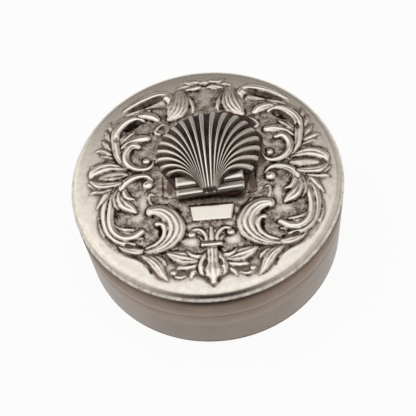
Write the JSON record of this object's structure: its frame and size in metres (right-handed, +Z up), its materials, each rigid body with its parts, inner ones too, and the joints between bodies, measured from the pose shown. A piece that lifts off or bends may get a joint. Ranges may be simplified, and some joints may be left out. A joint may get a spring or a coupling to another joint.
{
  "type": "round lidded silver box",
  "caption": "Round silver keepsake box with a lift-off lid, an inner bezel and a stamped scroll-relief top carrying an applied scallop shell.",
  "frame": {"origin": "centre of the underside of the base", "axes": "+Z up along the box's axis; -Y is the front, towards the shell's hinge line and the lower palmette; +X to the right seen from the front"},
  "size_m": [0.055, 0.055, 0.0253],
  "materials": {
    "satin_silver": "satin, circumferential brushing",
    "inner_silver": "plain drawn silver",
    "stamped_silver": "polished relief with dark oxide in the recesses",
    "old_cement": "aged red-brown shellac cement",
    "cast_silver": "cast, oxidised in the grooves and rubbed bright on the ribs"
  },
  "bodies": {
    "base": {"base_plate": "satin_silver", "base_band": "satin_silver", "bezel_ring": "inner_silver"},
    "lid": {"lid_band": "satin_silver", "lid_top": "stamped_silver", "shell_cement": "old_cement", "scallop_shell": "cast_silver"}
  },
  "joints": [
    {"name": "lid_lift", "type": "slide", "parent": "base", "child": "lid", "axis": [0, 0, 1], "range_m": [0, 0.04]}
  ]
}
